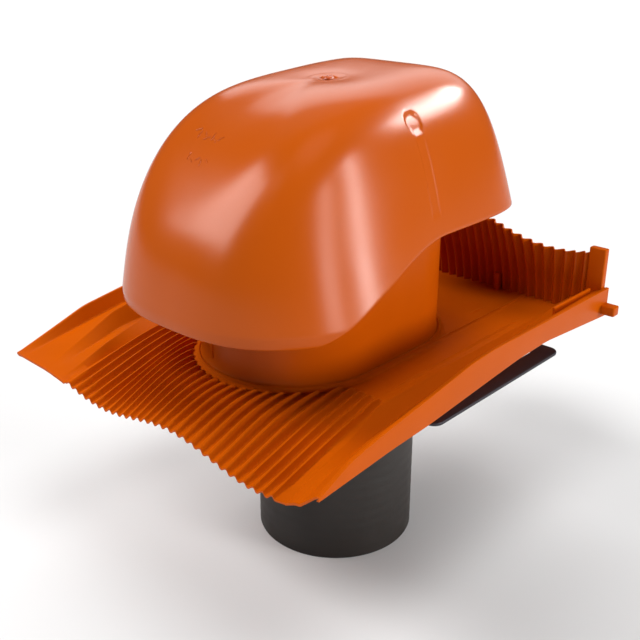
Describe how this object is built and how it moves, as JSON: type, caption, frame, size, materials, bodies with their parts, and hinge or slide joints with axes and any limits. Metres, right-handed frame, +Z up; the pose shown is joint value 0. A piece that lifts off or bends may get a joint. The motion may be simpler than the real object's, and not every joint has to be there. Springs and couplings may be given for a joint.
{
  "type": "roof vent pipe",
  "caption": "Roof ventilator: a helmet-shaped hood over an oval duct collar on a tile-shaped base plate with a corrugated apron and rear flap, and a round pipe below.",
  "frame": {"origin": "Middle of the whole part's width and depth, on the plane of the pipe's open lower end.", "axes": "+Z is up along the pipe. +Y is up the roof, to the flap. +X is across the roof, to the right as seen from the apron. The pipe's axis is at x 13.5 mm, y 2 mm."},
  "size_m": [0.329, 0.34, 0.3648],
  "materials": {
    "hood_plastic": "satin orange moulded plastic, fine grain",
    "base_plastic": "satin orange moulded plastic, fine grain",
    "screw_cap": "satin orange screw head",
    "pipe_plastic": "satin warm black pipe",
    "plate_plastic": "satin black sheet"
  },
  "bodies": {
    "root": {"hood": "hood_plastic", "hood_screw": "screw_cap", "base_plate": "base_plastic", "duct_collar": "base_plastic", "pipe": "pipe_plastic", "flange_plate": "plate_plastic"}
  },
  "joints": []
}
